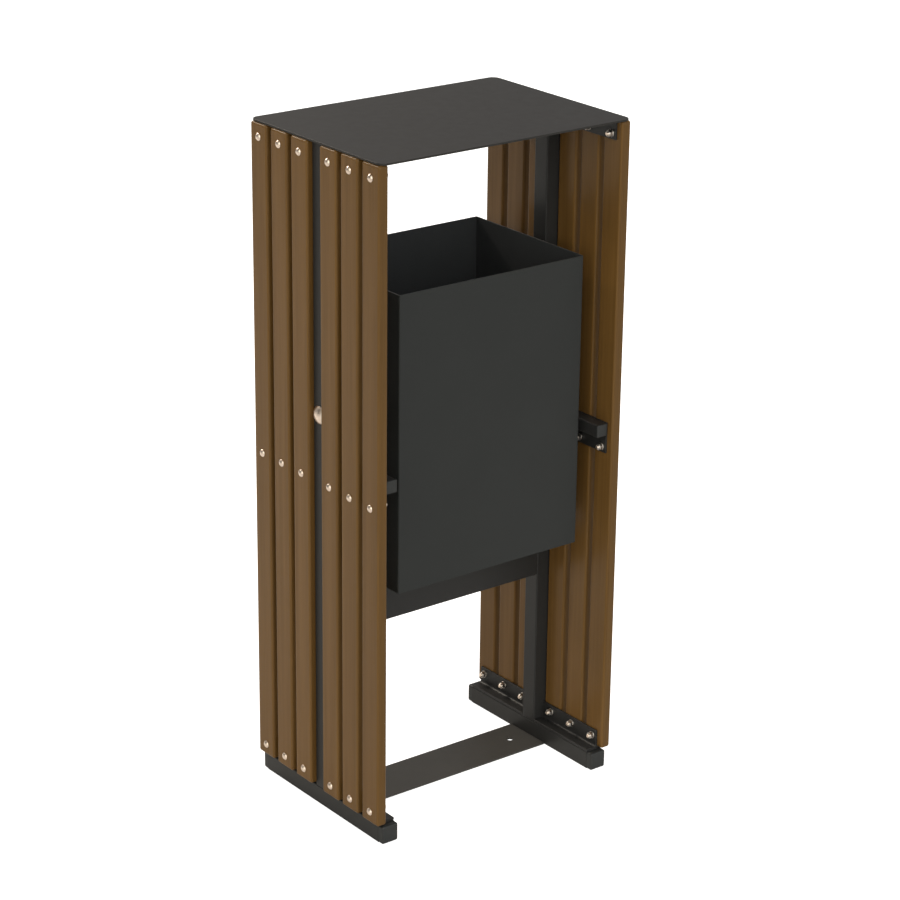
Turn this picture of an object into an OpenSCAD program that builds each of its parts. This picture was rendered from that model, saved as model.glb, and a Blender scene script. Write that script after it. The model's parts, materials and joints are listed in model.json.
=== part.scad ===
// Litter bin: two slatted side panels on a square-tube frame, a flat roof, and a bucket that tips between them.
// The origin is on the ground under the middle. X runs across the bin, the front faces -Y and +Z is up.
// Every side piece is drawn once, at the right and the back, and mirrored to the left or the front.

/* [Overall] */
// Height from the ground to the top of the roof
total_h = 1069.5; // [1040:0.5:1120]
// Clear width between the two side frames
clear_w = 384; // [376:1:400]

/* [Roof] */
// Width of the roof sheet
roof_w = 459.4; // [440:0.2:462]
// Depth of the roof sheet
roof_d = 329; // [320:0.2:340]
// Thickness of the roof sheet
roof_t = 3; // [2:0.5:5]
// Radius of the roof's corners in plan
roof_corner_r = 13; // [5:1:40]

/* [Slats] */
// Width of one slat
slat_w = 42; // [36:1:46]
// Thickness of one slat
slat_t = 17; // [14:1:20]
// Distance between the centres of neighbouring slats
slat_pitch = 52; // [50:1:56]
// Radius on all edges of a slat
slat_edge_r = 4; // [1:0.5:6]
// Gap between the base rail and the slats
slat_lift = 3; // [1:1:8]

/* [Frame tubes] */
// Side of the square tube of the posts and base rails
tube = 30; // [28:1:32]
// Wall of that tube
tube_wall = 2; // [1.5:0.5:3]
// Length of a base rail without its end caps
rail_len = 300; // [290:1:310]
// Visible length of a base rail's end cap
rail_cap_len = 11.5; // [4:0.5:12]
// Side of the square tube of the mid rails
mid_tube = 20; // [16:1:20]
// Wall of the mid rails' tube
mid_tube_wall = 1.5; // [1:0.5:2]
// Underside of the mid rails above the ground
mid_rail_z = 569; // [560:1:590]
// Height of the cross bar's section
bar_h = 60; // [40:5:60]
// Underside of the cross bar above the ground
bar_z = 292.5; // [260:0.5:296]

/* [Strips] */
// Thickness of the flat strips that the slats are bolted to
strip_t = 3; // [2:0.5:4]
// Height of the strips on the base rails
base_strip_h = 32; // [28:1:40]
// Thickness of the foot that the strips stand on
base_foot_t = 4; // [3:0.5:6]
// Height of the strips behind the mid rails
mid_strip_h = 50; // [44:1:60]
// Height of the strips under the roof
top_strip_h = 30.5; // [26:0.5:40]
// Width of the floor strip that joins the base rails
floor_strip_w = 86; // [60:1:120]
// Thickness of the floor strip
floor_strip_t = 3; // [2:0.5:6]
// Distance between the two anchor holes
anchor_spacing = 310; // [280:5:330]
// Diameter of an anchor hole
anchor_d = 10; // [8:0.5:14]

/* [Bucket] */
// Outside width of the bucket
bucket_w = 344; // [320:1:350]
// Outside depth of the bucket
bucket_d = 262; // [220:1:266]
// Height of the bucket
bucket_h = 466; // [440:1:470]
// Underside of the bucket above the ground
bucket_z = 394; // [390:1:400]
// Thickness of the bucket's sheet
bucket_t = 2; // [1.5:0.5:3]
// Height of the tipping axis above the ground
pivot_z = 650; // [640:1:660]

/* [Fasteners] */
// Height of the bottom row of slat bolts above the base rail
base_bolt_lift = 21.4; // [14:0.1:24]
// Height of the middle row of slat bolts above the ground
mid_bolt_z = 548.1; // [545:0.1:555]
// Drop of the top row of slat bolts below the roof
top_bolt_drop = 21.4; // [12:0.1:22]
// Head diameter of a slat bolt
slat_head_d = 12; // [11:0.5:16]
// Head diameter of a pivot bolt
pivot_head_d = 28.5; // [26:0.5:32]

/* [Hidden] */
$fn = 64;
CUT = 1;                    // how far a cutting shape runs past a face

FRAME_PAINT = "#37393b";
ROOF_PAINT = "#4b4844";
BUCKET_PAINT = "#383a3b";
SLAT_BROWN = "#6d5334";
ZINC = "#c9c4bb";
CAP_BLACK = "#26282a";

// Frame levels and faces, measured from the bin's middle plane
roof_under = total_h - roof_t;
post_in = clear_w / 2;
post_out = post_in + tube;
post_mid = post_in + tube / 2;
slat_seat = 8;              // how far the slats' inner face lies inside the posts' outer face
slat_in = post_out - slat_seat;
strip_in = slat_in - strip_t;
tube_r = 2;                 // outside corner radius of every tube
strip_end = rail_len / 2;
foot_fillet_r = 4;          // fillet between a base strip and its foot

// Slats
post_gap = 0.3;             // play between a post and the slats beside it
slat_top_gap = 0.5;
slat_y0 = tube / 2 + post_gap + slat_w / 2;
slat_z = tube + slat_lift;
slat_len = roof_under - slat_top_gap - slat_z;
bolt_rows = [tube + base_bolt_lift, mid_bolt_z, roof_under - top_bolt_drop];
slat_rows = [slat_y0, slat_y0 + slat_pitch, slat_y0 + 2 * slat_pitch];

// M6 slat bolts, washers and lock nuts
bolt_r = 3;
bolt_len = 30;
bolt_hole_r = 3.3;
slat_head_h = 3.4;
neck_w = 6.2;
neck_len = 4;
neck_hole_w = 6.6;
washer_r = 6;
washer_t = 1.6;
nut_across = 10;
nut_h = 5;
collar_r = 4.4;
collar_h = 1.5;
thread_gap = 0.05;

// M12 pivot bolts with shouldered sleeves
pivot_r = 6;
pivot_len = 75;
pivot_head_h = 6.4;
pivot_hole_r = 6.3;
pivot_neck_w = 12.3;
pivot_neck_len = 8;
pivot_neck_hole_w = 12.7;
sleeve_r = 12;
nose_r = 8;
nose_bore_r = nose_r + 0.06; // running fit of the bucket on the sleeve
side_play = 0.5;            // play along the axis between the bucket and what holds it
plate_size = 70;
plate_t = 3;
pivot_washer_r = 12;
pivot_washer_t = 2.5;
pivot_nut_across = 19;
pivot_nut_h = 9.5;
pivot_collar_r = 8.6;
pivot_collar_h = 2.5;
bucket_out = bucket_w / 2;
bucket_in = bucket_out - bucket_t;
bucket_bend_r = 2.5;
bucket_bend_in_r = 0.5;
plate_in = bucket_in - plate_t;
nose_end = plate_in - side_play;

// End caps
cap_edge_r = 1.2;
rail_cap_r = 3;
rail_cap_w = tube - 0.6;
mid_cap_len = 3;
plug_len = 12;
plug_gap = 0.1;             // play between a cap's plug and the inside of its tube

// Sides and ends
LEFT = -1;
RIGHT = 1;
FRONT = -1;
BACK = 1;

module on_side(side) {
    mirror([side < 0 ? 1 : 0, 0, 0]) children();
}

module at_end(end) {
    mirror([0, end < 0 ? 1 : 0, 0]) children();
}

module both_ends() {
    for (end = [FRONT, BACK]) at_end(end) children();
}

// General shapes
module rounded_rect(w, d, r) {
    square([w - 2 * r, d], center = true);
    square([w, d - 2 * r], center = true);
    for (x = [-1, 1], y = [-1, 1]) {
        translate([x * (w / 2 - r), y * (d / 2 - r)]) circle(r);
    }
}

module tube_profile(w, d, wall) {
    difference() {
        rounded_rect(w, d, tube_r);
        square([w - 2 * wall, d - 2 * wall], center = true);
    }
}

// A block with all twelve edges rounded, centred on the origin
module rounded_block(size, r) {
    intersection() {
        linear_extrude(size.z, center = true) rounded_rect(size.x, size.y, r);
        rotate([0, 90, 0]) linear_extrude(size.x, center = true) rounded_rect(size.z, size.y, r);
        rotate([90, 0, 0]) linear_extrude(size.y, center = true) rounded_rect(size.x, size.z, r);
    }
}

// A square bar along X from x0 to x1
module square_bar(x0, x1, w) {
    translate([x0, -w / 2, -w / 2]) cube([x1 - x0, w, w]);
}

// A round bar along X from x0 to x1
module round_bar(x0, x1, r) {
    translate([x0, 0, 0]) rotate([0, 90, 0]) cylinder(h = x1 - x0, r = r);
}

// A hexagonal bar along X from x0 to x1
module hex_bar(x0, x1, across) {
    translate([x0, 0, 0]) rotate([0, 90, 0]) cylinder(h = x1 - x0, r = across / sqrt(3), $fn = 6);
}

// A domed head whose flat side lies at x and which bulges towards +X
module domed_head(x, d, h) {
    dome_r = (d * d / 4 + h * h) / (2 * h);
    translate([x, 0, 0]) rotate([0, 90, 0]) rotate_extrude() intersection() {
        translate([0, h - dome_r]) circle(dome_r);
        square([d, h]);
    }
}

// A lock nut along X whose seat is at x and whose collar points towards -X
module lock_nut(x, across, h, round_r, round_h, bore_r) {
    difference() {
        union() {
            hex_bar(x - h, x, across);
            round_bar(x - h - round_h, x - h, round_r);
        }
        round_bar(x - h - round_h - CUT, x + CUT, bore_r);
    }
}

// Repeats its children at every slat bolt of the right-hand panel
module at_slat_bolts() {
    both_ends() for (y = slat_rows, z = bolt_rows) translate([0, y, z]) children();
}

// Base
module base_rail(side) {
    color(FRAME_PAINT) on_side(side)
        translate([post_mid, rail_len / 2, tube / 2]) rotate([90, 0, 0])
            linear_extrude(rail_len) tube_profile(tube, tube, tube_wall);
}

module base_rail_caps(side) {
    plug_w = tube - 2 * tube_wall - 2 * plug_gap;
    color(CAP_BLACK) on_side(side) both_ends()
        translate([post_mid, rail_len / 2, tube / 2]) {
            intersection() {
                rounded_block([rail_cap_w, 2 * rail_cap_len, rail_cap_w], rail_cap_r);
                translate([-tube, 0, -tube]) cube(2 * tube);
            }
            translate([-plug_w / 2, -plug_len, -plug_w / 2]) cube([plug_w, plug_len, plug_w]);
        }
}

module floor_strip() {
    color(FRAME_PAINT) difference() {
        translate([-post_in, -floor_strip_w / 2, 0]) cube([clear_w, floor_strip_w, floor_strip_t]);
        for (x = [-1, 1]) {
            translate([x * anchor_spacing / 2, 0, -CUT]) cylinder(h = floor_strip_t + 2 * CUT, d = anchor_d);
        }
    }
}

// Uprights and cross bar
module post(side) {
    color(FRAME_PAINT) on_side(side) difference() {
        translate([post_mid, 0, tube]) linear_extrude(roof_under - tube) tube_profile(tube, tube, tube_wall);
        translate([0, 0, pivot_z]) round_bar(post_in - CUT, post_mid, pivot_hole_r);
        translate([0, 0, pivot_z]) square_bar(post_mid, post_out + CUT, pivot_neck_hole_w);
    }
}

module cross_bar() {
    color(FRAME_PAINT) translate([-post_in, 0, bar_z + bar_h / 2]) rotate([0, 90, 0])
        linear_extrude(clear_w) tube_profile(bar_h, tube, tube_wall);
}

// Strips that carry the slats
module slat_strip(side, end, z, h) {
    color(FRAME_PAINT) on_side(side) at_end(end) difference() {
        translate([strip_in, tube / 2, z]) cube([strip_t, strip_end - tube / 2, h]);
        for (y = slat_rows, row = bolt_rows) {
            translate([0, y, row]) round_bar(strip_in - CUT, slat_in + CUT, bolt_hole_r);
        }
    }
}

// The base strips stand on a foot that reaches in to the edge of the rail
module base_strip_foot(side, end) {
    color(FRAME_PAINT) on_side(side) at_end(end)
        translate([strip_in, tube / 2, tube]) rotate([-90, 0, 0]) mirror([0, 1, 0])
            linear_extrude(strip_end - tube / 2) {
                translate([post_in - strip_in, 0]) square([strip_in - post_in, base_foot_t]);
                translate([-foot_fillet_r, base_foot_t]) difference() {
                    square(foot_fillet_r);
                    translate([0, foot_fillet_r]) circle(foot_fillet_r);
                }
            }
}

module base_strip(side, end) {
    slat_strip(side, end, tube, base_strip_h);
    base_strip_foot(side, end);
}

module mid_strip(side, end) {
    slat_strip(side, end, mid_rail_z + mid_tube - mid_strip_h, mid_strip_h);
}

module top_strip(side, end) {
    slat_strip(side, end, roof_under - top_strip_h, top_strip_h);
}

// Mid rails
module mid_rail(side, end) {
    color(FRAME_PAINT) on_side(side) at_end(end)
        translate([strip_in - mid_tube / 2, tube / 2, mid_rail_z + mid_tube / 2]) rotate([-90, 0, 0])
            linear_extrude(strip_end - tube / 2) tube_profile(mid_tube, mid_tube, mid_tube_wall);
}

module mid_rail_caps(side) {
    plug_w = mid_tube - 2 * mid_tube_wall - 2 * plug_gap;
    color(CAP_BLACK) on_side(side) both_ends()
        translate([strip_in - mid_tube / 2, strip_end, mid_rail_z + mid_tube / 2]) {
            rotate([-90, 0, 0]) linear_extrude(mid_cap_len) rounded_rect(mid_tube, mid_tube, tube_r);
            translate([-plug_w / 2, -plug_len, -plug_w / 2]) cube([plug_w, plug_len, plug_w]);
        }
}

// Roof
module roof() {
    color(ROOF_PAINT) translate([0, 0, roof_under])
        linear_extrude(roof_t) rounded_rect(roof_w, roof_d, roof_corner_r);
}

// Slats, counted from the front: 1 to 3 stand before the post and 4 to 6 behind it
module slat(side, number) {
    end = number <= 3 ? FRONT : BACK;
    y = slat_rows[number <= 3 ? 3 - number : number - 4];
    color(SLAT_BROWN) on_side(side) at_end(end) difference() {
        translate([slat_in + slat_t / 2, y, slat_z + slat_len / 2])
            rounded_block([slat_t, slat_w, slat_len], slat_edge_r);
        for (row = bolt_rows) translate([0, y, row]) {
            round_bar(slat_in - CUT, slat_in + slat_t + CUT, bolt_hole_r);
            square_bar(slat_in + slat_t - neck_len - CUT, slat_in + slat_t + CUT, neck_hole_w);
        }
    }
}

// Fasteners of the slats
module slat_bolts(side) {
    face = slat_in + slat_t;
    color(ZINC) on_side(side) at_slat_bolts() {
        domed_head(face, slat_head_d, slat_head_h);
        square_bar(face - neck_len, face, neck_w);
        round_bar(face - bolt_len, face - neck_len, bolt_r);
    }
}

module slat_washers(side) {
    color(ZINC) on_side(side) at_slat_bolts() difference() {
        round_bar(strip_in - washer_t, strip_in, washer_r);
        round_bar(strip_in - washer_t - CUT, strip_in + CUT, bolt_hole_r);
    }
}

module slat_nuts(side) {
    seat = strip_in - washer_t;
    color(ZINC) on_side(side) at_slat_bolts()
        lock_nut(seat, nut_across, nut_h, collar_r, collar_h, bolt_r + thread_gap);
}

// Tipping pivots
module pivot_bolt(side) {
    color(ZINC) on_side(side) translate([0, 0, pivot_z]) {
        domed_head(post_out, pivot_head_d, pivot_head_h);
        square_bar(post_out - pivot_neck_len, post_out, pivot_neck_w);
        round_bar(post_out - pivot_len, post_out - pivot_neck_len, pivot_r);
    }
}

module pivot_sleeve(side) {
    color(ZINC) on_side(side) translate([0, 0, pivot_z]) difference() {
        union() {
            round_bar(bucket_out + side_play, post_in, sleeve_r);
            round_bar(nose_end, bucket_out + side_play, nose_r);
        }
        round_bar(nose_end - CUT, post_in + CUT, pivot_hole_r);
    }
}

module pivot_washer(side) {
    color(ZINC) on_side(side) translate([0, 0, pivot_z]) difference() {
        round_bar(nose_end - pivot_washer_t, nose_end, pivot_washer_r);
        round_bar(nose_end - pivot_washer_t - CUT, nose_end + CUT, pivot_hole_r);
    }
}

module pivot_nut(side) {
    seat = nose_end - pivot_washer_t;
    color(ZINC) on_side(side) translate([0, 0, pivot_z])
        lock_nut(seat, pivot_nut_across, pivot_nut_h, pivot_collar_r, pivot_collar_h, pivot_r + thread_gap);
}

// Bucket
module bucket_shell() {
    color(BUCKET_PAINT) difference() {
        translate([0, 0, bucket_z]) linear_extrude(bucket_h) difference() {
            rounded_rect(bucket_w, bucket_d, bucket_bend_r);
            rounded_rect(2 * bucket_in, bucket_d - 2 * bucket_t, bucket_bend_in_r);
        }
        translate([0, 0, pivot_z]) round_bar(-bucket_out - CUT, bucket_out + CUT, nose_bore_r);
    }
}

module bucket_base() {
    color(BUCKET_PAINT) translate([0, 0, bucket_z])
        linear_extrude(bucket_t) rounded_rect(2 * bucket_in, bucket_d - 2 * bucket_t, bucket_bend_in_r);
}

module bearing_plate(side) {
    color(BUCKET_PAINT) on_side(side) translate([0, 0, pivot_z]) difference() {
        translate([plate_in, 0, 0]) rotate([0, 90, 0])
            linear_extrude(plate_t) rounded_rect(plate_size, plate_size, tube_r);
        round_bar(plate_in - CUT, bucket_in + CUT, nose_bore_r);
    }
}

base_rail(LEFT);  // base_rail_left
base_rail(RIGHT);  // base_rail_right
base_rail_caps(LEFT);  // base_rail_caps_left
base_rail_caps(RIGHT);  // base_rail_caps_right
floor_strip();
post(LEFT);  // post_left
post(RIGHT);  // post_right
cross_bar();
roof();
base_strip(LEFT, FRONT);  // base_strip_left_front
base_strip(LEFT, BACK);  // base_strip_left_back
base_strip(RIGHT, FRONT);  // base_strip_right_front
base_strip(RIGHT, BACK);  // base_strip_right_back
mid_strip(LEFT, FRONT);  // mid_strip_left_front
mid_strip(LEFT, BACK);  // mid_strip_left_back
mid_strip(RIGHT, FRONT);  // mid_strip_right_front
mid_strip(RIGHT, BACK);  // mid_strip_right_back
top_strip(LEFT, FRONT);  // top_strip_left_front
top_strip(LEFT, BACK);  // top_strip_left_back
top_strip(RIGHT, FRONT);  // top_strip_right_front
top_strip(RIGHT, BACK);  // top_strip_right_back
mid_rail(LEFT, FRONT);  // mid_rail_left_front
mid_rail(LEFT, BACK);  // mid_rail_left_back
mid_rail(RIGHT, FRONT);  // mid_rail_right_front
mid_rail(RIGHT, BACK);  // mid_rail_right_back
mid_rail_caps(LEFT);  // mid_rail_caps_left
mid_rail_caps(RIGHT);  // mid_rail_caps_right
slat(LEFT, 1);  // left_slat_1
slat(LEFT, 2);  // left_slat_2
slat(LEFT, 3);  // left_slat_3
slat(LEFT, 4);  // left_slat_4
slat(LEFT, 5);  // left_slat_5
slat(LEFT, 6);  // left_slat_6
slat(RIGHT, 1);  // right_slat_1
slat(RIGHT, 2);  // right_slat_2
slat(RIGHT, 3);  // right_slat_3
slat(RIGHT, 4);  // right_slat_4
slat(RIGHT, 5);  // right_slat_5
slat(RIGHT, 6);  // right_slat_6
slat_bolts(LEFT);  // slat_bolts_left
slat_bolts(RIGHT);  // slat_bolts_right
slat_washers(LEFT);  // slat_washers_left
slat_washers(RIGHT);  // slat_washers_right
slat_nuts(LEFT);  // slat_nuts_left
slat_nuts(RIGHT);  // slat_nuts_right
pivot_bolt(LEFT);  // pivot_bolt_left
pivot_bolt(RIGHT);  // pivot_bolt_right
pivot_sleeve(LEFT);  // pivot_sleeve_left
pivot_sleeve(RIGHT);  // pivot_sleeve_right
pivot_washer(LEFT);  // pivot_washer_left
pivot_washer(RIGHT);  // pivot_washer_right
pivot_nut(LEFT);  // pivot_nut_left
pivot_nut(RIGHT);  // pivot_nut_right
bucket_shell();
bucket_base();
bearing_plate(LEFT);  // bearing_plate_left
bearing_plate(RIGHT);  // bearing_plate_right
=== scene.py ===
"""The looks of the litter bin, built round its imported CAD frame.
Metres, +Z up, the front faces -Y and X runs across the bin, as in the frame."""
import json
import math

import bmesh
import bpy
from mathutils import Matrix, Vector


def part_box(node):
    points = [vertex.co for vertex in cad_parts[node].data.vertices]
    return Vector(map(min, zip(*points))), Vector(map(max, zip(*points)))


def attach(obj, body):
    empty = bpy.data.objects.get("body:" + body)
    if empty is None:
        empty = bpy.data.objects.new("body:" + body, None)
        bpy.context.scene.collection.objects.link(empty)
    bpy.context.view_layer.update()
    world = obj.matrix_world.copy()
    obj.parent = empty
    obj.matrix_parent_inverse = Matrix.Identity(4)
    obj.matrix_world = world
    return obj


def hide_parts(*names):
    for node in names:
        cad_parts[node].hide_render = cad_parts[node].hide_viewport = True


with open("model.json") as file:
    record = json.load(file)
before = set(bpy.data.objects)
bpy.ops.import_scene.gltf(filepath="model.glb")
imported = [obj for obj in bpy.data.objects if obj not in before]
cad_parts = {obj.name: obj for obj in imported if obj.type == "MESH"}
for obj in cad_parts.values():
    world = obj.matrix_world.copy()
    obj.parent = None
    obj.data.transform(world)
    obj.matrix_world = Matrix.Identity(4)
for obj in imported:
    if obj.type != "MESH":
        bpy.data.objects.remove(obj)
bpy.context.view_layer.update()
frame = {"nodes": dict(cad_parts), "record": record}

# ---------------------------------------------------------------- sizes the frame doesn't state
MM = 0.001
X, Y, Z = 0, 1, 2
CUT_EDGE = 0.35 * MM            # rounding that powder coat leaves on a sawn or sheared edge
DRILL_OVERRUN = 1.0 * MM        # how far a cutter stands out of what it cuts

TUBE_CORNER = 2.0 * MM
TUBE_WALL = 2.0 * MM
MID_TUBE_WALL = 1.5 * MM
RAIL_CAP_EDGE = 3.0 * MM
MID_CAP_EDGE = 1.4 * MM
PLUG_RIBS = 3
PLUG_RIB_DEPTH = 0.8 * MM

STRIP_EDGE = 0.5 * MM           # small rounding on the strips' corners and the roof's rim
FOOT_THICKNESS = 4.0 * MM       # of the foot under each base strip
FOOT_FILLET = 4.0 * MM
ROOF_CORNER = 13.0 * MM

SLAT_EDGE = 4.0 * MM
SLAT_HOLE_R = 3.3 * MM
SLAT_POCKET = 6.6 * MM          # width of the square pocket for a bolt's neck
NECK_DEPTH = 4.0 * MM

BUCKET_BEND = 2.5 * MM
BUCKET_WALL = 2.0 * MM
BEARING_CORNER = 2.0 * MM
NOSE_BORE_R = 8.06 * MM         # of the bucket's holes, which turn on the pivot sleeves' noses

# M6 slat fasteners
BOLT_R = 3.0 * MM
BOLT_NECK = 6.2 * MM
BOLT_THREAD = 4.5 * MM          # length of the thread, from the tip
BOLT_PITCH = 1.0 * MM
WASHER_R = 6.0 * MM
NUT_ACROSS = 10.0 * MM
NUT_HEIGHT = 5.0 * MM
NUT_COLLAR_R = 4.4 * MM
NUT_BORE_R = 3.05 * MM

# M12 pivots
PIVOT_HOLE_R = 6.3 * MM
PIVOT_HOLE_SQUARE = 12.7 * MM
PIVOT_R = 6.0 * MM
PIVOT_NECK = 12.3 * MM
PIVOT_NECK_DEPTH = 8.0 * MM
PIVOT_THREAD = 14.0 * MM
PIVOT_PITCH = 1.75 * MM
SLEEVE_R = 12.0 * MM
SLEEVE_NOSE_R = 8.0 * MM
SLEEVE_BEVEL = 0.6 * MM
SIDE_PLAY = 0.5 * MM            # between the bucket and a sleeve's shoulder
PIVOT_WASHER_R = 12.0 * MM
PIVOT_NUT_ACROSS = 19.0 * MM
PIVOT_NUT_HEIGHT = 9.5 * MM
PIVOT_COLLAR_R = 8.6 * MM
PIVOT_NUT_BORE_R = 6.05 * MM

# Meshes are built in millimetres, because Blender's face filler is too coarse for metres.
FILL_SCALE = 1 / MM
SAME_POINT = 1e-4               # points closer than this many millimetres are one
SAME_LEVEL = 1e-3               # and edges this close to a flat end belong to it
SHARP_ANGLE = math.radians(38)
PIVOT_SEGMENTS = 48

RECORD = frame["record"]
BODY_OF = {node: body for body, nodes in RECORD["behaviour"]["bodies"].items() for node in nodes}
SIDES = {"left": -1, "right": 1}
ENDS = {"front": -1, "back": 1}


# ---------------------------------------------------------------- outlines and rings
def place(axis, u, v, w):
    """The point w along an axis, and u and v along the two axes that follow it."""
    point = [0.0, 0.0, 0.0]
    point[axis] = w
    point[(axis + 1) % 3] = u
    point[(axis + 2) % 3] = v
    return point


def rounded_rect(centre, size, radius, steps=6):
    """The outline of a rounded rectangle, as a function of how far it is drawn in."""
    def outline(inset=0.0):
        corner = max(radius - inset, 0.0)
        reach = [side / 2 - inset - corner for side in size]
        points = []
        for turn, (along_u, along_v) in enumerate([(1, 1), (-1, 1), (-1, -1), (1, -1)]):
            for step in range(steps + 1):
                angle = math.radians(90 * (turn + step / steps))
                u = centre[0] + along_u * reach[0] + corner * math.cos(angle)
                v = centre[1] + along_v * reach[1] + corner * math.sin(angle)
                points.append((u, v))
        return points
    return outline


def circle(centre, radius, steps=32):
    """The outline of a circle, as a function of how far it is drawn in."""
    def outline(inset=0.0):
        angles = [math.tau * step / steps for step in range(steps)]
        reach = radius - inset
        return [(centre[0] + reach * math.cos(a), centre[1] + reach * math.sin(a)) for a in angles]
    return outline


def square(centre, width, steps=32):
    """The outline of a square with as many points as a circle has, so that the two join up."""
    def outline(inset=0.0):
        points = []
        for step in range(steps):
            angle = math.tau * step / steps
            reach = square_reach(width - 2 * inset, angle)
            points.append((centre[0] + reach * math.cos(angle), centre[1] + reach * math.sin(angle)))
        return points
    return outline


def square_reach(width, angle):
    """How far a square reaches from its centre at an angle."""
    return width / 2 / max(abs(math.cos(angle)), abs(math.sin(angle)))


def hex_reach(across, angle):
    """How far a hexagon reaches from its centre at an angle, its flats facing up and down."""
    sector = math.radians(60)
    from_flat = (angle + math.radians(30)) % sector - sector / 2
    return across / 2 / math.cos(from_flat)


def rim(outline, level, way, soft, steps):
    """Rings from the edge of a flat end to the full outline, along a rounded rim.
    A negative soft rounds the rim of a hole."""
    if not soft:
        return [(level, outline())]
    rings = []
    for step in range(steps + 1):
        angle = math.radians(90 * step / steps)
        inset = soft * (1 - math.sin(angle))
        depth = abs(soft) * (1 - math.cos(angle))
        rings.append((level + way * depth, outline(inset)))
    return rings


def softened(outline, low, high, soft, steps=4):
    """Rings along a straight bar or hole from low to high, with both rims rounded."""
    return rim(outline, low, 1, soft, steps) + rim(outline, high, -1, soft, steps)[::-1]


def drawn_in(points):
    """Any outline that runs anticlockwise, as a function of how far it is drawn in."""
    def outline(inset=0.0):
        moved = []
        for i, (u, v) in enumerate(points):
            before = points[i - 1]
            after = points[(i + 1) % len(points)]
            sides = []
            for (u0, v0), (u1, v1) in ((before, (u, v)), ((u, v), after)):
                length = math.hypot(u1 - u0, v1 - v0)
                sides.append(((v0 - v1) / length, (u1 - u0) / length))
            (a, b), (c, d) = sides
            reach = inset / (1 + a * c + b * d)
            moved.append((u + reach * (a + c), v + reach * (b + d)))
        return moved
    return outline


def arc(centre, radius, start, end, steps):
    """Points along an arc, with its angles in degrees."""
    angles = [math.radians(start + (end - start) * step / steps) for step in range(steps + 1)]
    return [(centre[0] + radius * math.cos(a), centre[1] + radius * math.sin(a)) for a in angles]


# ---------------------------------------------------------------- meshes
def add_rings(bm, rings, closed=False):
    """Joins rings of points by quads and merges what coincides."""
    loops = [[bm.verts.new(Vector(p) * FILL_SCALE) for p in ring] for ring in rings]
    pairs = list(zip(loops, loops[1:]))
    if closed:
        pairs.append((loops[-1], loops[0]))
    for one, other in pairs:
        for i in range(len(one)):
            j = (i + 1) % len(one)
            bm.faces.new((one[i], one[j], other[j], other[i]))
    made = [v for loop in loops for v in loop]
    bmesh.ops.remove_doubles(bm, verts=made, dist=SAME_POINT)


def add_solid(bm, axis, outer, holes=()):
    """Adds a bar along an axis.
    outer and each hole are rings (level, outline points) from one flat end to the other."""
    before = set(bm.verts)
    for rings in [outer, *holes]:
        add_rings(bm, [[place(axis, u, v, level) for u, v in points] for level, points in rings])
    new = [v for v in bm.verts if v not in before]
    open_edges = {e for v in new for e in v.link_edges if e.is_boundary}
    for level in (outer[0][0] * FILL_SCALE, outer[-1][0] * FILL_SCALE):
        flat = [e for e in open_edges if all(abs(v.co[axis] - level) < SAME_LEVEL for v in e.verts)]
        flat.sort(key=lambda e: tuple(e.verts[0].co) + tuple(e.verts[1].co))
        if holes:
            bmesh.ops.triangle_fill(bm, edges=flat, use_beauty=True)
        else:
            bmesh.ops.edgeloop_fill(bm, edges=flat)


def add_turned(bm, way, centre, rings, segments=24, closed=False, look=0):
    """Adds a shape turned about an axis along X.
    A ring is its distance from the middle plane and its radius, or a function from angle to radius."""
    before = set(bm.faces)
    points = []
    for distance, radius in rings:
        ring = []
        for step in range(segments):
            angle = math.tau * step / segments
            reach = radius(angle) if callable(radius) else radius
            y = centre[0] + reach * math.cos(angle)
            z = centre[1] + reach * math.sin(angle)
            ring.append((way * distance, y, z))
        points.append(ring)
    add_rings(bm, points, closed)
    for face in bm.faces:
        if face not in before:
            face.material_index = look


def piece_from(bm, name):
    """Turns a mesh built in millimetres into an object."""
    bmesh.ops.dissolve_degenerate(bm, edges=bm.edges, dist=SAME_POINT)
    bmesh.ops.recalc_face_normals(bm, faces=bm.faces)
    bmesh.ops.scale(bm, vec=(MM, MM, MM), verts=bm.verts)
    mesh = bpy.data.meshes.new(name)
    bm.to_mesh(mesh)
    bm.free()
    piece = bpy.data.objects.new(name, mesh)
    bpy.context.scene.collection.objects.link(piece)
    return piece


def solid(name, axis, outer, holes=()):
    """A single bar along an axis as an object."""
    bm = bmesh.new()
    add_solid(bm, axis, outer, holes)
    return piece_from(bm, name)


def bored(piece, axis, rings):
    """Cuts a bar given by its rings out of a piece."""
    cutter = solid("cutter", axis, rings)
    cut = piece.modifiers.new("bore", "BOOLEAN")
    cut.operation = "DIFFERENCE"
    cut.solver = "EXACT"
    cut.object = cutter
    graph = bpy.context.evaluated_depsgraph_get()
    old = piece.data
    new = bpy.data.meshes.new_from_object(piece.evaluated_get(graph))
    piece.modifiers.clear()
    piece.data = new
    bpy.data.meshes.remove(old)
    new.name = piece.name
    new.materials.clear()
    bpy.data.objects.remove(cutter)


def smoothed(piece):
    """Shades rounded edges smooth and keeps flat faces flat."""
    piece.data.shade_smooth()
    piece.data.set_sharp_from_angle(angle=SHARP_ANGLE)
    normals = piece.modifiers.new("normals", "WEIGHTED_NORMAL")
    normals.keep_sharp = True


def stand_for(node, piece, *looks):
    """Shows a piece in place of a CAD node, on its body and with its material slot."""
    smoothed(piece)
    for look in looks:
        piece.data.materials.append(look)
    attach(piece, BODY_OF[node])
    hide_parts(node)


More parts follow.
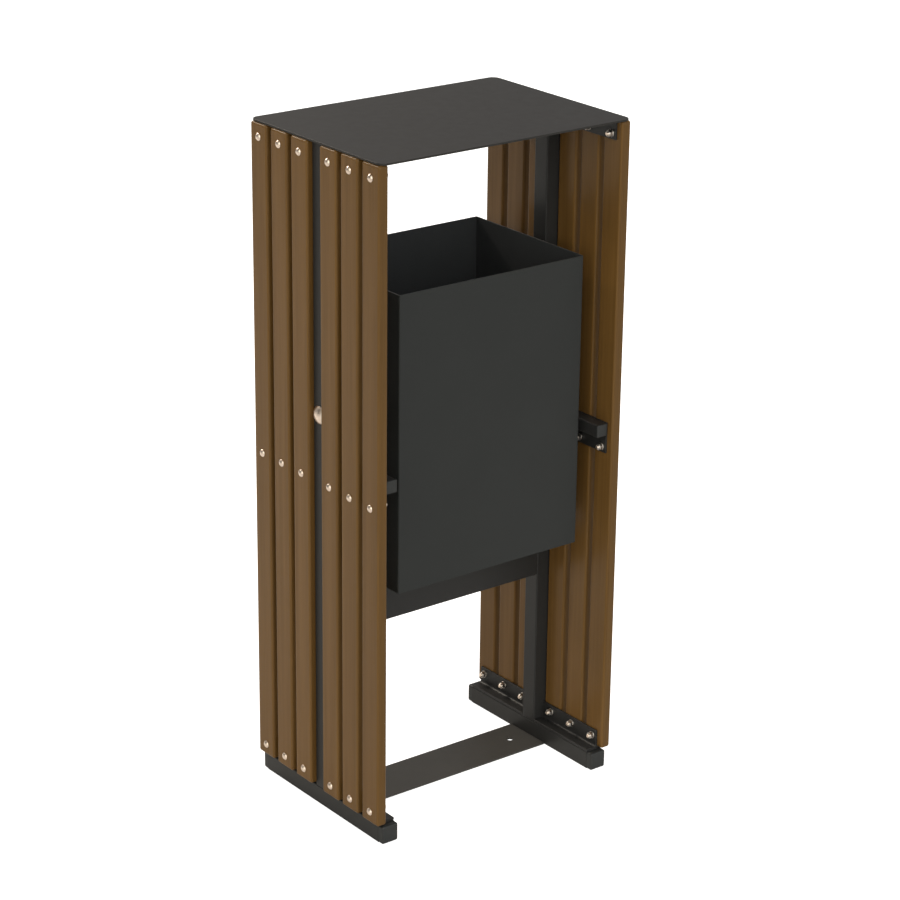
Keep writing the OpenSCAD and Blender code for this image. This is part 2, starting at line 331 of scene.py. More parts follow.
# ---------------------------------------------------------------- reading the frame
def parts_of(node):
    """The box of each separate solid in a CAD node, from front to back and from low to high."""
    bm = bmesh.new()
    bm.from_mesh(frame["nodes"][node].data)
    bmesh.ops.remove_doubles(bm, verts=bm.verts, dist=1e-6)
    left = dict.fromkeys(bm.verts)
    boxes = []
    while left:
        todo = [left.popitem()[0]]
        low = todo[0].co.copy()
        high = low.copy()
        while todo:
            vert = todo.pop()
            low = Vector(map(min, low, vert.co))
            high = Vector(map(max, high, vert.co))
            near = [e.other_vert(vert) for e in vert.link_edges]
            for other in near:
                if other in left:
                    del left[other]
                    todo.append(other)
        boxes.append((low, high))
    bm.free()
    return sorted(boxes, key=lambda box: (round(box[0].y, 4), round(box[0].z, 4)))


def middle(low, high, axis):
    """The centre and the size of a box across an axis."""
    first, second = (axis + 1) % 3, (axis + 2) % 3
    centre = ((low[first] + high[first]) / 2, (low[second] + high[second]) / 2)
    size = (high[first] - low[first], high[second] - low[second])
    return centre, size


def reach_x(low, high):
    """The nearer and the farther distance of a box from the middle plane."""
    return sorted((abs(low.x), abs(high.x)))


BOLT_CENTRES = {side: [middle(*box, X)[0] for box in parts_of(f"slat_bolts_{side}")] for side in SIDES}


def bolts_in(side, low, high):
    """The centres (y, z) of the slat bolts that pass through a box."""
    return [(y, z) for y, z in BOLT_CENTRES[side] if low.y < y < high.y and low.z < z < high.z]


# ---------------------------------------------------------------- materials
FRAME_TONES = ((0.0215, 0.0212, 0.0206), (0.0235, 0.0232, 0.0226))
BUCKET_TONES = ((0.0170, 0.0186, 0.0180), (0.0188, 0.0204, 0.0198))
ROOF_TONES = ((0.0195, 0.0177, 0.0158), (0.0213, 0.0193, 0.0173))
# painted light: a lighter coat for the bucket's inside, base and bearing plates, standing in for light
# bounced inside it
INNER_PAINTED_LIGHT_TONES = ((0.0280, 0.0298, 0.0315), (0.0330, 0.0350, 0.0370))
# painted light: the floor strip's coat is lighter than the frame's, standing in for the light on it
PAINTED_LIGHT_STRIP_COLOURS = ((0.0450, 0.0428, 0.0388), (0.0520, 0.0495, 0.0450))
CAP_TONES = ((0.0185, 0.0196, 0.0190), (0.0210, 0.0222, 0.0216))
WOOD_DARK = (0.131, 0.0670, 0.0178)
WOOD_MAIN = (0.152, 0.0780, 0.0209)
WOOD_LIGHT = (0.172, 0.0895, 0.0246)
SLAT_SIDE_PAINTED_SHADE = 0.74          # painted shade: how much of its colour a slat keeps on its narrow sides, which face the gaps
ZINC_TONES = ((0.66, 0.61, 0.56), (0.84, 0.79, 0.74))
HEAD_TONES = ((0.80, 0.66, 0.54), (0.92, 0.78, 0.66))
NYLON_TONES = ((0.50, 0.50, 0.47), (0.60, 0.60, 0.57))
FLOOR_TONES = ((0.90, 0.90, 0.90), (0.92, 0.92, 0.92))
FLOOR_GLOW = 0.8
NOISE_LOW, NOISE_HIGH = 0.3, 0.7        # nearly all values of a noise lie between these


class Nodes:
    """The node tree of a material or a world, with short names for what both use."""

    def __init__(self, tree):
        self.tree = tree

    def add(self, kind, **settings):
        node = self.tree.nodes.new(kind)
        for key, value in settings.items():
            setattr(node, key, value)
        return node

    def join(self, source, target):
        self.tree.links.new(source, target)

    def computed(self, operation, value, amount=0.0):
        """The result of a math node for a value and a constant."""
        node = self.add("ShaderNodeMath", operation=operation)
        self.join(value, node.inputs[0])
        node.inputs[1].default_value = amount
        return node.outputs["Value"]


class Look(Nodes):
    """A material under construction, with the patterns that the finishes are made of."""

    def __init__(self, name):
        self.material = bpy.data.materials.new(name)
        self.material.use_nodes = True
        super().__init__(self.material.node_tree)
        self.shader = self.tree.nodes["Principled BSDF"]
        self.where = self.add("ShaderNodeTexCoord").outputs["Object"]

    def noise(self, scale, detail, roughness=0.5, distortion=0.0):
        """Noise with its own scale along X, Y and Z, in cells per metre."""
        mapping = self.add("ShaderNodeMapping")
        mapping.inputs["Scale"].default_value = scale
        self.join(self.where, mapping.inputs["Vector"])
        node = self.add("ShaderNodeTexNoise")
        node.inputs["Scale"].default_value = 1.0
        node.inputs["Detail"].default_value = detail
        node.inputs["Roughness"].default_value = roughness
        node.inputs["Distortion"].default_value = distortion
        self.join(mapping.outputs["Vector"], node.inputs["Vector"])
        return node.outputs["Fac"]

    def facing(self, axis):
        """How squarely a surface faces along an axis, either way, from 0 to 1."""
        parts = self.add("ShaderNodeSeparateXYZ")
        self.join(self.add("ShaderNodeTexCoord").outputs["Normal"], parts.inputs[0])
        return self.computed("ABSOLUTE", parts.outputs[axis])

    def spread(self, value, low, high, start=NOISE_LOW, end=NOISE_HIGH):
        """Maps the part of a pattern between start and end to low and high."""
        node = self.add("ShaderNodeMapRange")
        node.inputs["From Min"].default_value = start
        node.inputs["From Max"].default_value = end
        node.inputs["To Min"].default_value = low
        node.inputs["To Max"].default_value = high
        self.join(value, node.inputs["Value"])
        return node.outputs["Result"]

    def tones(self, value, *colours):
        """Colours from first to last as a noise goes from low to high."""
        node = self.add("ShaderNodeValToRGB")
        ramp = node.color_ramp
        while len(ramp.elements) < len(colours):
            ramp.elements.new(0.5)
        for i, colour in enumerate(colours):
            share = i / (len(colours) - 1)
            ramp.elements[i].position = NOISE_LOW + (NOISE_HIGH - NOISE_LOW) * share
            ramp.elements[i].color = (*colour, 1.0)
        self.join(value, node.inputs["Fac"])
        return node.outputs["Color"]

    def scaled(self, colour, amount):
        """A colour multiplied by a value."""
        node = self.add("ShaderNodeVectorMath", operation="SCALE")
        self.join(colour, node.inputs[0])
        self.join(amount, node.inputs["Scale"])
        return node.outputs["Vector"]

    def bumped(self, height, distance, strength, below=None):
        """A bump over another bump, or over the smooth surface."""
        node = self.add("ShaderNodeBump")
        node.inputs["Strength"].default_value = strength
        node.inputs["Distance"].default_value = distance
        self.join(height, node.inputs["Height"])
        if below is not None:
            self.join(below, node.inputs["Normal"])
        return node.outputs["Normal"]

    def finish(self, colour, roughness, normal):
        """Joins the finished patterns to the shader and gives the material."""
        self.join(colour, self.shader.inputs["Base Color"])
        self.join(roughness, self.shader.inputs["Roughness"])
        self.join(normal, self.shader.inputs["Normal"])
        return self.material


def powder_coat(name, tones, roughness, specular, grain):
    """Cured powder coat: an even tone with a fine speckle, on a slight orange peel."""
    look = Look(name)
    cloud = look.noise((9.0, 9.0, 9.0), detail=4.0)
    speckle = look.noise((1400.0, 1400.0, 1400.0), detail=1.0)
    peel = look.noise((grain, grain, grain), detail=2.0, roughness=0.4)
    wear = look.noise((60.0, 60.0, 60.0), detail=5.0)
    colour = look.scaled(look.tones(cloud, *tones), look.spread(speckle, 0.94, 1.06))
    rough = look.spread(wear, roughness - 0.015, roughness + 0.015)
    fine = look.bumped(speckle, 0.00002, 0.35)
    look.shader.inputs["Specular IOR Level"].default_value = specular
    return look.finish(colour, rough, look.bumped(peel, 0.00004, 0.30, fine))


def stained_wood(name):
    """Planed boards, stained brown and thinly varnished, with their grain along Z.
    Their narrow sides, which face each other across the gaps, are darker: painted shade for the gaps."""
    look = Look(name)
    board = look.noise((3.0, 15.0, 0.15), detail=1.0)
    figure = look.noise((90.0, 90.0, 1.7), detail=6.0, roughness=0.62, distortion=0.6)
    pores = look.noise((900.0, 900.0, 14.0), detail=3.0, roughness=0.6)
    colour = look.tones(figure, WOOD_DARK, WOOD_MAIN, WOOD_LIGHT)
    colour = look.scaled(colour, look.spread(pores, 0.90, 1.06))
    colour = look.scaled(colour, look.spread(board, 0.96, 1.04))
    # painted shade: faces towards +Y and -Y are darkened
    colour = look.scaled(colour, look.spread(look.facing(Y), 1.0, SLAT_SIDE_PAINTED_SHADE, 0.5, 0.95))
    rough = look.spread(figure, 0.42, 0.34)
    fine = look.bumped(pores, 0.00008, 0.30)
    look.shader.inputs["Specular IOR Level"].default_value = 0.16
    look.shader.inputs["Coat Weight"].default_value = 0.08
    look.shader.inputs["Coat Roughness"].default_value = 0.16
    return look.finish(colour, rough, look.bumped(figure, 0.00020, 0.25, fine))


def zinc_plate(name, tones, low, high):
    """Bright zinc plate with the faint cloudiness of the bath and fine tool marks."""
    look = Look(name)
    cloud = look.noise((160.0, 160.0, 160.0), detail=4.0)
    marks = look.noise((2600.0, 500.0, 500.0), detail=2.0)
    rough = look.spread(cloud, low, high)
    look.shader.inputs["Metallic"].default_value = 1.0
    return look.finish(look.tones(cloud, *tones), rough, look.bumped(marks, 0.00002, 0.25))


def moulded_plastic(name, tones, roughness):
    """Moulded plastic with a fine spark-eroded grain."""
    look = Look(name)
    grain = look.noise((1600.0, 1600.0, 1600.0), detail=2.0)
    cloud = look.noise((40.0, 40.0, 40.0), detail=3.0)
    rough = look.spread(grain, roughness - 0.05, roughness + 0.05)
    look.shader.inputs["Specular IOR Level"].default_value = 0.40
    return look.finish(look.tones(cloud, *tones), rough, look.bumped(grain, 0.00003, 0.40))


def pale_floor(name):
    """A matt floor that glows for the camera alone, so it looks white without lighting the bin."""
    look = Look(name)
    cloud = look.noise((2.0, 2.0, 2.0), detail=3.0)
    rough = look.spread(cloud, 0.88, 0.92)
    look.shader.inputs["Specular IOR Level"].default_value = 0.0
    look.shader.inputs["Emission Color"].default_value = (1.0, 1.0, 1.0, 1.0)
    seen = look.add("ShaderNodeLightPath").outputs["Is Camera Ray"]
    look.join(look.computed("MULTIPLY", seen, FLOOR_GLOW), look.shader.inputs["Emission Strength"])
    return look.finish(look.tones(cloud, *FLOOR_TONES), rough, look.bumped(cloud, 0.0001, 0.05))


FRAME_PAINT = powder_coat("frame_powder_coat", FRAME_TONES, 0.40, 0.28, 420.0)
ROOF_PAINT = powder_coat("roof_powder_coat", ROOF_TONES, 0.46, 0.26, 380.0)
BUCKET_PAINT = powder_coat("bucket_powder_coat", BUCKET_TONES, 0.44, 0.28, 380.0)
# painted light: lighter paint inside the bucket
INNER_COAT_PAINTED_LIGHT = powder_coat("bucket_inside_painted_light", INNER_PAINTED_LIGHT_TONES, 0.52, 0.24, 300.0)
# painted light: a lighter coat for the floor strip
PAINTED_LIGHT_STRIP_COAT = powder_coat("floor_strip_painted_light", PAINTED_LIGHT_STRIP_COLOURS, 0.50, 0.28, 300.0)
CAP_PLASTIC = moulded_plastic("cap_plastic_grained", CAP_TONES, 0.45)
NYLON = moulded_plastic("nut_insert_nylon", NYLON_TONES, 0.50)
SLAT_WOOD = stained_wood("slat_wood_stained")
ZINC = zinc_plate("zinc_plated_steel", ZINC_TONES, 0.22, 0.34)
HEAD_ZINC = zinc_plate("zinc_plated_heads", HEAD_TONES, 0.30, 0.40)


# ---------------------------------------------------------------- frame
def tube(node, axis, wall):
    """A square tube along an axis, with the size of its CAD node."""
    low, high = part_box(node)
    centre, size = middle(low, high, axis)
    outer = softened(rounded_rect(centre, size, TUBE_CORNER), low[axis], high[axis], CUT_EDGE)
    inner_size = [side - 2 * wall for side in size]
    inner = rounded_rect(centre, inner_size, TUBE_CORNER / 4)
    bore = [(low[axis], inner()), (high[axis], inner())]
    return solid(f"{node}_tube", axis, outer, [bore])


def plate(node, axis, radius, suffix, soft=CUT_EDGE, holes=()):
    """A flat sheet, thin along an axis. A hole is (centre, radius)."""
    low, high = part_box(node)
    centre, size = middle(low, high, axis)
    outer = softened(rounded_rect(centre, size, radius), low[axis], high[axis], soft)
    bores = [softened(circle(at, r, 24), low[axis], high[axis], -soft / 2, 2) for at, r in holes]
    return solid(f"{node}_{suffix}", axis, outer, bores)


def caps(node, wall, edge):
    """The two end caps of a rail along Y: a rounded head outside and a ribbed plug inside."""
    bm = bmesh.new()
    tube_low, tube_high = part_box(node.replace("_caps", "") + ("" if "base" in node else "_front"))
    for low, high in parts_of(node):
        way = 1 if high.y > 0 else -1
        face, inner = (high.y, low.y) if way > 0 else (low.y, high.y)
        mouth = way * max(abs(tube_low.y), abs(tube_high.y))
        centre, size = middle(low, high, Y)
        plug = rounded_rect(centre, [side - 2 * wall for side in size], PLUG_RIB_DEPTH)
        head = rounded_rect(centre, size, edge)
        rings = [(inner, plug(2 * PLUG_RIB_DEPTH))]
        pitch = (mouth - inner) / PLUG_RIBS
        for rib in range(PLUG_RIBS):
            start = inner + rib * pitch
            rings += [(start + 0.3 * pitch, plug(0)), (start + 0.5 * pitch, plug(0))]
            rings += [(start + 0.6 * pitch, plug(PLUG_RIB_DEPTH)), (start + pitch, plug(PLUG_RIB_DEPTH))]
        rings.append((mouth, head(0)))
        rings += rim(head, face, -way, edge, 5)[::-1]
        add_solid(bm, Y, rings)
    return piece_from(bm, f"{node}_plugs")


def make_base(side):
    rail = f"base_rail_{side}"
    stand_for(rail, tube(rail, Y, TUBE_WALL), FRAME_PAINT)
    rail_caps = f"base_rail_caps_{side}"
    stand_for(rail_caps, caps(rail_caps, TUBE_WALL, RAIL_CAP_EDGE), CAP_PLASTIC)


def make_floor_strip():
    """The strip on the ground, with the holes that its mount states."""
    mount = next(m for m in RECORD["mounts"] if m["name"] == "anchor_holes")
    x = mount["dims"]["spacing_x_mm"] / 2 * MM
    radius = mount["dims"]["hole_r_mm"] * MM
    holes = [((-x, 0.0), radius), ((x, 0.0), radius)]
    piece = plate("floor_strip", Z, STRIP_EDGE, "plate", holes=holes)
    # painted light: the strip gets the lighter coat
    stand_for("floor_strip", piece, PAINTED_LIGHT_STRIP_COAT)


def make_post(side):
    """A post with a round hole inside and a square one outside for its pivot bolt."""
    way = SIDES[side]
    node = f"post_{side}"
    low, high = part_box(node)
    near, far = reach_x(low, high)
    centre = pivot_centre(side)
    halfway = (near + far) / 2
    post = tube(node, Z, TUBE_WALL)
    round_hole = circle(centre, PIVOT_HOLE_R)
    square_hole = square(centre, PIVOT_HOLE_SQUARE)
    inside = way * (near - DRILL_OVERRUN)
    outside = way * (far + DRILL_OVERRUN)
    bored(post, X, [(inside, round_hole()), (way * halfway, round_hole())])
    bored(post, X, [(way * halfway, square_hole()), (outside, square_hole())])
    stand_for(node, post, FRAME_PAINT)


def pivot_centre(side):
    """Where (y, z) a pivot bolt's axis runs."""
    return middle(*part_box(f"pivot_bolt_{side}"), X)[0]


def make_strip(row, side, end):
    """A flat strip that a row of slats is bolted to, halfway up or under the roof."""
    node = f"{row}_strip_{side}_{end}"
    holes = [(centre, SLAT_HOLE_R) for centre in bolts_in(side, *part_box(node))]
    stand_for(node, plate(node, X, STRIP_EDGE, "flat", holes=holes), FRAME_PAINT)


def make_base_strip(side, end):
    """An upright strip on a foot, with a fillet between them. It stands under the top strip."""
    node = f"base_strip_{side}_{end}"
    low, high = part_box(node)
    near, far = reach_x(low, high)
    strip_in = reach_x(*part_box(f"top_strip_{side}_{end}"))[0]
    foot_top = low.z + FOOT_THICKNESS
    soft = STRIP_EDGE
    points = arc((low.z + soft, far - soft), soft, 90, 180, 3)
    points += arc((low.z + soft, near + soft), soft, 180, 270, 3)
    points += arc((foot_top - soft, near + soft), soft, 270, 360, 3)
    points += arc((foot_top + FOOT_FILLET, strip_in - FOOT_FILLET), FOOT_FILLET, 180, 90, 6)
    points += arc((high.z - soft, strip_in + soft), soft, 270, 360, 3)
    points += arc((high.z - soft, far - soft), soft, 0, 90, 3)
    if SIDES[side] < 0:
        points = [(z, -x) for z, x in points][::-1]
    piece = solid(f"{node}_footed", Y, softened(drawn_in(points), low.y, high.y, CUT_EDGE))
    for centre in bolts_in(side, low, high):
        hole = circle(centre, SLAT_HOLE_R, 24)
        bored(piece, X, [(low.x - DRILL_OVERRUN, hole()), (high.x + DRILL_OVERRUN, hole())])
    stand_for(node, piece, FRAME_PAINT)


def make_mid_rails(side):
    for end in ENDS:
        rail = f"mid_rail_{side}_{end}"
        stand_for(rail, tube(rail, Y, MID_TUBE_WALL), FRAME_PAINT)
    rail_caps = f"mid_rail_caps_{side}"
    stand_for(rail_caps, caps(rail_caps, MID_TUBE_WALL, MID_CAP_EDGE), CAP_PLASTIC)


def make_roof():
    stand_for("roof", plate("roof", Z, ROOF_CORNER, "sheet", soft=STRIP_EDGE), ROOF_PAINT)


# ---------------------------------------------------------------- slats
def make_slat(side, number):
    """A board with all its edges rounded.
    Each of its bolts has a round hole that ends in a square pocket outside."""
    node = f"{side}_slat_{number}"
    low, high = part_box(node)
    centre, size = middle(low, high, X)
    outer = softened(rounded_rect(centre, size, SLAT_EDGE, 5), low.x, high.x, SLAT_EDGE, 5)
    holes = []
    for at in bolts_in(side, low, high):
        bore = circle(at, SLAT_HOLE_R, 16)
        pocket = square(at, SLAT_POCKET, 16)
        if SIDES[side] > 0:
            ledge = high.x - NECK_DEPTH
            holes.append([(low.x, bore()), (ledge, bore()), (ledge, pocket()), (high.x, pocket())])
        else:
            ledge = low.x + NECK_DEPTH
            holes.append([(low.x, pocket()), (ledge, pocket()), (ledge, bore()), (high.x, bore())])
    stand_for(node, solid(f"{node}_board", X, outer, holes), SLAT_WOOD)


# ---------------------------------------------------------------- fasteners
def dome(seat, diameter, height, steps=7):
    """Rings of a domed head from its middle to its seat, with a short upright rim."""
    edge = 0.10 * height
    bulge = height - edge
    ball = (diameter * diameter / 4 + bulge * bulge) / (2 * bulge)
    widest = math.asin(diameter / 2 / ball)
    rings = []
    for step in range(steps + 1):
        angle = widest * step / steps
        rings.append((seat + height - ball * (1 - math.cos(angle)), ball * math.sin(angle)))
    rings.append((seat + edge / 3, diameter / 2))
    rings.append((seat, diameter / 2 - edge / 3))
    return rings


def thread(start, end, radius, pitch, per_turn=6):
    """Rings of a screw thread from start down to end, with a chamfer at its tip."""
    depth = 0.6 * pitch
    count = round((start - end) / pitch * per_turn)
    rings = []
    for i in range(count + 1):
        distance = start + (end - start) * i / count
        tip = max(0.0, (end + pitch - distance) / pitch) * depth
        def reach(angle, distance=distance, tip=tip):
            phase = (distance / pitch + angle / math.tau) % 1.0
            return min(radius - depth * abs(2 * phase - 1), radius - tip)
        rings.append((distance, reach))
    rings.append((end, 0.0))
    return rings


def bolt_rings(seat, head_d, head_h, neck_w, neck_end, shank_r, thread_start, tip, pitch):
    """A whole domed bolt with a square neck, from its head to its tip."""
    def neck(angle):
        return square_reach(neck_w, angle)
    rings = dome(seat, head_d, head_h)
    rings += [(seat, neck), (neck_end, neck), (neck_end, shank_r), (thread_start, shank_r)]
    return rings + thread(thread_start, tip, shank_r, pitch)


def nut_rings(seat, across, hex_end, collar_r, collar_end, bore):
    """The steel of a lock nut from its seat to its collar, with chamfered corners and a rolled-in lip."""
    def hexed(limit):
        return lambda angle: min(limit, hex_reach(across, angle))
    washer_face = 0.48 * across
    corner = across / math.sqrt(3)
    chamfer = 0.07 * across
    rings = [(seat, bore), (seat, washer_face)]
    rings += [(seat - 0.4 * chamfer, hexed(0.54 * across)), (seat - chamfer, hexed(corner))]
    rings += [(hex_end + chamfer, hexed(corner)), (hex_end + 0.4 * chamfer, hexed(0.54 * across))]
    rings += [(hex_end, washer_face), (hex_end, collar_r)]
    lip = 0.4 * (hex_end - collar_end)
    for step in range(4):
        angle = math.radians(30 * step)
        rings.append((collar_end + lip * (1 - math.sin(angle)), collar_r - lip * (1 - math.cos(angle))))
    rim_r = (collar_r + bore) / 2
    rings += [(collar_end, rim_r), (collar_end + lip, rim_r), (hex_end, bore)]
    return rings


def insert_rings(hex_end, collar_r, collar_end, bore):
    """The nylon ring held in a lock nut's collar."""
    lip = 0.4 * (hex_end - collar_end)
    rim_r = (collar_r + bore) / 2
    outer = rim_r - 0.02 * MM
    top = collar_end + 0.5 * lip
    bottom = collar_end + 0.98 * lip
    edge = 0.2 * (rim_r - bore)
    return [(top, bore + edge), (top, outer), (bottom, outer), (bottom, bore), (top + edge, bore)]


def washer_rings(outer, inner, near, far):
    """A punched washer with rolled outer edges."""
    soft = 0.2 * (far - near)
    rings = [(far, inner), (far, outer - soft), (far - soft, outer)]
    return rings + [(near + soft, outer), (near, outer - soft), (near, inner)]


def make_slat_fasteners(side):
    """The bolts, washers and lock nuts of one side's slats, each kind as one piece."""
    way = SIDES[side]
    bolts, washers, nuts = bmesh.new(), bmesh.new(), bmesh.new()
    seat = reach_x(*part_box(f"{side}_slat_1"))[1]
    nut_parts = parts_of(f"slat_nuts_{side}")
    washer_parts = parts_of(f"slat_washers_{side}")
    for bolt, washer, nut in zip(parts_of(f"slat_bolts_{side}"), washer_parts, nut_parts):
        centre, size = middle(*bolt, X)
        tip, top = reach_x(*bolt)
        rings = bolt_rings(seat, size[0], top - seat, BOLT_NECK, seat - NECK_DEPTH, BOLT_R,
                           tip + BOLT_THREAD, tip, BOLT_PITCH)
        add_turned(bolts, way, centre, rings)
        near, far = reach_x(*washer)
        rings = washer_rings(WASHER_R, SLAT_HOLE_R, near, far)
        add_turned(washers, way, centre, rings, 32, closed=True)
        collar_end, nut_seat = reach_x(*nut)
        hex_end = nut_seat - NUT_HEIGHT
        rings = nut_rings(nut_seat, NUT_ACROSS, hex_end, NUT_COLLAR_R, collar_end, NUT_BORE_R)
        add_turned(nuts, way, centre, rings, closed=True)
        rings = insert_rings(hex_end, NUT_COLLAR_R, collar_end, NUT_BORE_R)
        add_turned(nuts, way, centre, rings, closed=True, look=1)
    stand_for(f"slat_bolts_{side}", piece_from(bolts, f"slat_bolts_{side}_domed"), HEAD_ZINC)
    stand_for(f"slat_washers_{side}", piece_from(washers, f"slat_washers_{side}_rings"), ZINC)
    stand_for(f"slat_nuts_{side}", piece_from(nuts, f"slat_nuts_{side}_locking"), ZINC, NYLON)


def turned_piece(name, side, rings, closed=True, extra=()):
    """A turned part on a pivot's axis as an object. The extra rings get its second look."""
    bm = bmesh.new()
    add_turned(bm, SIDES[side], pivot_centre(side), rings, PIVOT_SEGMENTS, closed)
    if extra:
        add_turned(bm, SIDES[side], pivot_centre(side), extra, PIVOT_SEGMENTS, closed, look=1)
    return piece_from(bm, name)


def make_pivot(side):
    """A pivot's bolt, its shouldered sleeve, its washer and its lock nut."""
    bolt = f"pivot_bolt_{side}"
    low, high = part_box(bolt)
    tip, top = reach_x(low, high)
    seat = reach_x(*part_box(f"post_{side}"))[1]
    rings = bolt_rings(seat, high.y - low.y, top - seat, PIVOT_NECK, seat - PIVOT_NECK_DEPTH, PIVOT_R,
                       tip + PIVOT_THREAD, tip, PIVOT_PITCH)
    stand_for(bolt, turned_piece(f"{bolt}_domed", side, rings, closed=False), HEAD_ZINC)

    sleeve = f"pivot_sleeve_{side}"
    near, far = reach_x(*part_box(sleeve))
    shoulder = reach_x(*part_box("bucket_shell"))[1] + SIDE_PLAY
    bevel = SLEEVE_BEVEL
    rings = [(far, PIVOT_HOLE_R), (far, SLEEVE_R - bevel), (far - bevel, SLEEVE_R)]
    rings += [(shoulder + bevel, SLEEVE_R), (shoulder, SLEEVE_R - bevel), (shoulder, SLEEVE_NOSE_R)]
    rings += [(near + bevel, SLEEVE_NOSE_R), (near, SLEEVE_NOSE_R - bevel), (near, PIVOT_HOLE_R)]
    stand_for(sleeve, turned_piece(f"{sleeve}_shouldered", side, rings), ZINC)

    washer = f"pivot_washer_{side}"
    rings = washer_rings(PIVOT_WASHER_R, PIVOT_HOLE_R, *reach_x(*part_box(washer)))
    stand_for(washer, turned_piece(f"{washer}_ring", side, rings), ZINC)

    nut = f"pivot_nut_{side}"
    collar_end, seat = reach_x(*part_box(nut))
    hex_end = seat - PIVOT_NUT_HEIGHT
    rings = nut_rings(seat, PIVOT_NUT_ACROSS, hex_end, PIVOT_COLLAR_R, collar_end, PIVOT_NUT_BORE_R)
    insert = insert_rings(hex_end, PIVOT_COLLAR_R, collar_end, PIVOT_NUT_BORE_R)
    stand_for(nut, turned_piece(f"{nut}_locking", side, rings, extra=insert), ZINC, NYLON)


# ---------------------------------------------------------------- bucket
def make_bucket():
    """The folded shell with a lighter look inside, which is painted light, its base, and the bearing
    plates on its sides.
    """
    low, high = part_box("bucket_shell")
    centre, size = middle(low, high, Z)
    outer = softened(rounded_rect(centre, size, BUCKET_BEND), low.z, high.z, CUT_EDGE)
    inner_size = [side - 2 * BUCKET_WALL for side in size]
    inner_bend = BUCKET_BEND - BUCKET_WALL
    inner = softened(rounded_rect(centre, inner_size, inner_bend), low.z, high.z, -CUT_EDGE)
    shell = solid("bucket_shell_folded", Z, outer, [inner])
    hole = circle(pivot_centre("right"), NOSE_BORE_R, 48)
    bored(shell, X, [(low.x - DRILL_OVERRUN, hole()), (high.x + DRILL_OVERRUN, hole())])
    # painted light: upright faces inside the shell get the lighter inside coat
    for face in shell.data.polygons:
        x, y = (abs(value) for value in face.center[:2])
        inside = x < high.x - BUCKET_WALL / 2 and y < high.y - BUCKET_WALL / 2
        upright = abs(face.normal.z) < 0.7
        face.material_index = int(inside and upright)
    stand_for("bucket_shell", shell, BUCKET_PAINT, INNER_COAT_PAINTED_LIGHT)
    stand_for("bucket_base", plate("bucket_base", Z, inner_bend, "sheet", soft=0), INNER_COAT_PAINTED_LIGHT)
    for side in SIDES:
        node = f"bearing_plate_{side}"
        holes = [(pivot_centre(side), NOSE_BORE_R)]
        stand_for(node, plate(node, X, BEARING_CORNER, "punched", holes=holes), INNER_COAT_PAINTED_LIGHT)


# ---------------------------------------------------------------- studio
AZIMUTH = math.radians(-37.64)
ELEVATION = math.radians(20.81)
ROLL = math.radians(0.68)
DISTANCE = 4.297
LENS = 111.77                   # in millimetres, as is the sensor's width
SENSOR = 36.0
AIM = Vector((0.0, 0.0, 0.5778))
AIM_RIGHT = 0.0182              # the aim moves this far right and up in the picture
AIM_UP = -0.0305
FLOOR_SIZE = 60.0
FLOOR_DROP = 0.0003             # keeps the floor clear of the rails' undersides


def direction(azimuth, elevation):
    """The unit vector towards a viewer or a light at that azimuth and elevation."""
    level = math.cos(elevation)
    return Vector((math.sin(azimuth) * level, -math.cos(azimuth) * level, math.sin(elevation)))


def make_camera():
    """The photo's viewpoint, solved from the edges of the bin."""
    back = direction(AZIMUTH, ELEVATION)
    level_right = Vector((math.cos(AZIMUTH), math.sin(AZIMUTH), 0.0))
    level_up = back.cross(level_right)
    right = math.cos(ROLL) * level_right + math.sin(ROLL) * level_up
    up = math.cos(ROLL) * level_up - math.sin(ROLL) * level_right
    camera = bpy.data.objects.new("camera", bpy.data.cameras.new("camera"))
    camera.data.lens = LENS
    camera.data.sensor_width = SENSOR
    camera.data.clip_end = 200.0
    turn = Matrix((right, up, back)).transposed().to_4x4()
    aim = AIM + AIM_RIGHT * right + AIM_UP * up
    camera.matrix_world = Matrix.Translation(aim + back * DISTANCE) @ turn
    bpy.context.scene.collection.objects.link(camera)
    bpy.context.scene.camera = camera


def make_floor():
    bm = bmesh.new()
    bmesh.ops.create_grid(bm, x_segments=4, y_segments=4, size=FLOOR_SIZE / 2)
    mesh = bpy.data.meshes.new("floor")
    bm.to_mesh(mesh)
    bm.free()
    mesh.materials.append(pale_floor("pale_floor"))
    floor = bpy.data.objects.new("floor", mesh)
    floor.location.z = -FLOOR_DROP
    bpy.context.scene.collection.objects.link(floor)


def area_light(name, azimuth, elevation, size, power):
    """A round soft light that faces the middle of the bin."""
    light = bpy.data.lights.new(name, "AREA")
    light.shape = "DISK"
    light.size = size
    light.energy = power
    light.color = LAMP_COLOUR
    lamp = bpy.data.objects.new(name, light)
    back = direction(math.radians(azimuth), math.radians(elevation))
    lamp.location = AIM + back * LAMP_DISTANCE
    lamp.rotation_mode = "QUATERNION"
    lamp.rotation_quaternion = back.to_track_quat("Z", "Y")
    bpy.context.scene.collection.objects.link(lamp)


# Each glow is a direction, how narrow it is, and its colour times its strength.
GLOWS = (
    ((0.0, -1.0, 0.0), 2.0, (0.30, 0.30, 0.30)),
    ((0.0, -0.92, 0.39), 6.0, (1.76, 1.77, 1.77)),
    ((-0.71, -0.71, 0.0), 4.0, (0.90, 0.88, 0.79)),
    ((-0.65, -0.65, 0.39), 6.0, (1.60, 1.56, 1.39)),
    ((1.0, 0.0, 0.0), 2.0, (0.70, 0.70, 0.70)),
    ((0.0, 1.0, 0.0), 2.0, (0.30, 0.30, 0.30)),
)
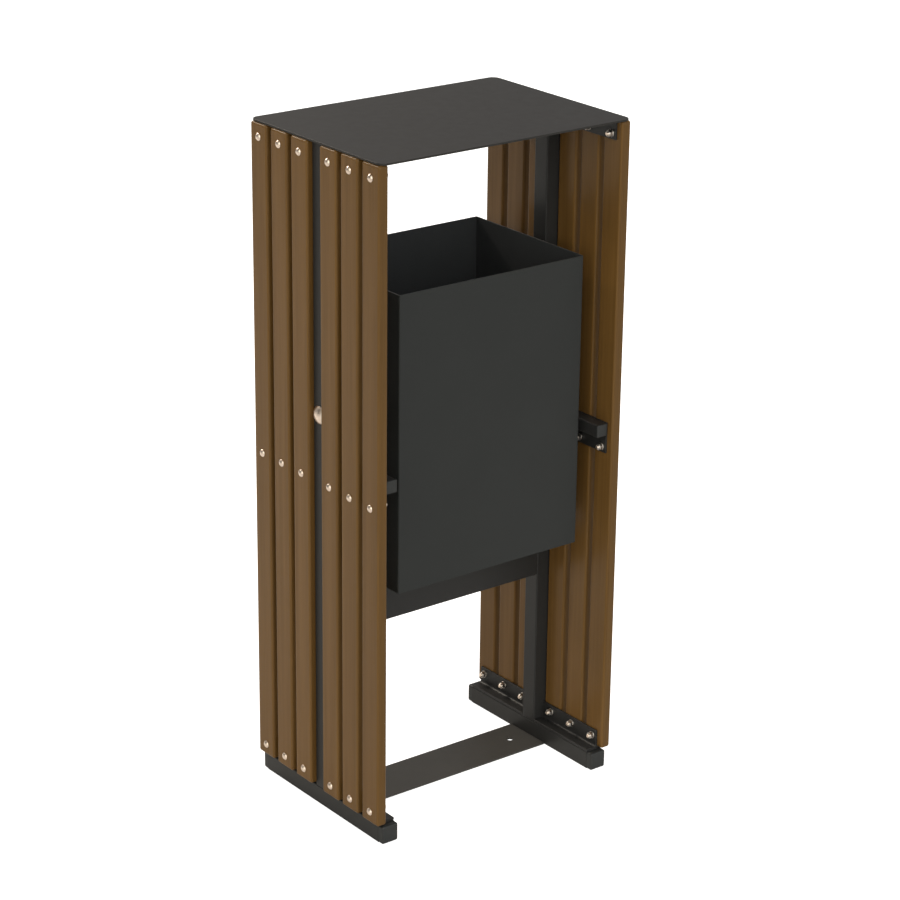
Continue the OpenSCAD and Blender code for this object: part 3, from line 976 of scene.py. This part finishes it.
# Each lamp is a name, its azimuth and elevation in degrees, its diameter and its power.
LAMPS = (
    ("key", 180.0, 42.0, 1.6, 74.0),
    ("edge", -154.0, 35.0, 0.36, 28.0),
)
LAMP_DISTANCE = 4.0
LAMP_COLOUR = (1.0, 0.90, 0.78)


def make_world():
    """A studio that glows more in some directions than in others, and looks white behind the bin."""
    world = bpy.data.worlds.new("studio")
    world.use_nodes = True
    studio = Nodes(world.node_tree)
    where = studio.add("ShaderNodeTexCoord").outputs["Generated"]
    total = None
    for way, power, colour in GLOWS:
        facing = studio.add("ShaderNodeVectorMath", operation="DOT_PRODUCT")
        studio.join(where, facing.inputs[0])
        facing.inputs[1].default_value = way
        lit = studio.computed("MAXIMUM", facing.outputs["Value"])
        narrow = studio.computed("POWER", lit, power)
        added = studio.add("ShaderNodeVectorMath", operation="MULTIPLY_ADD")
        added.inputs[0].default_value = colour
        studio.join(narrow, added.inputs[1])
        if total is not None:
            studio.join(total, added.inputs[2])
        total = added.outputs["Vector"]
    shown = studio.add("ShaderNodeMix", data_type="RGBA")
    seen = studio.add("ShaderNodeLightPath").outputs["Is Camera Ray"]
    studio.join(seen, shown.inputs["Factor"])
    glow, white = (socket for socket in shown.inputs if socket.type == "RGBA")
    studio.join(total, glow)
    white.default_value = (1.0, 1.0, 1.0, 1.0)
    mixed = next(socket for socket in shown.outputs if socket.type == "RGBA")
    studio.join(mixed, studio.tree.nodes["Background"].inputs["Color"])
    bpy.context.scene.world = world


def make_lights():
    """The glowing studio, a key light behind the bin and a small one that picks out its edges."""
    make_world()
    for lamp in LAMPS:
        area_light(*lamp)


# ---------------------------------------------------------------- assembly
make_camera()
make_floor()
make_lights()
make_floor_strip()
stand_for("cross_bar", tube("cross_bar", X, TUBE_WALL), FRAME_PAINT)
make_roof()
for side_name in SIDES:
    make_base(side_name)
    make_post(side_name)
    make_mid_rails(side_name)
    for end_name in ENDS:
        make_base_strip(side_name, end_name)
        make_strip("mid", side_name, end_name)
        make_strip("top", side_name, end_name)
    for slat_number in range(1, 7):
        make_slat(side_name, slat_number)
    make_slat_fasteners(side_name)
    make_pivot(side_name)
make_bucket()
bpy.context.scene.view_settings.view_transform = "Standard"
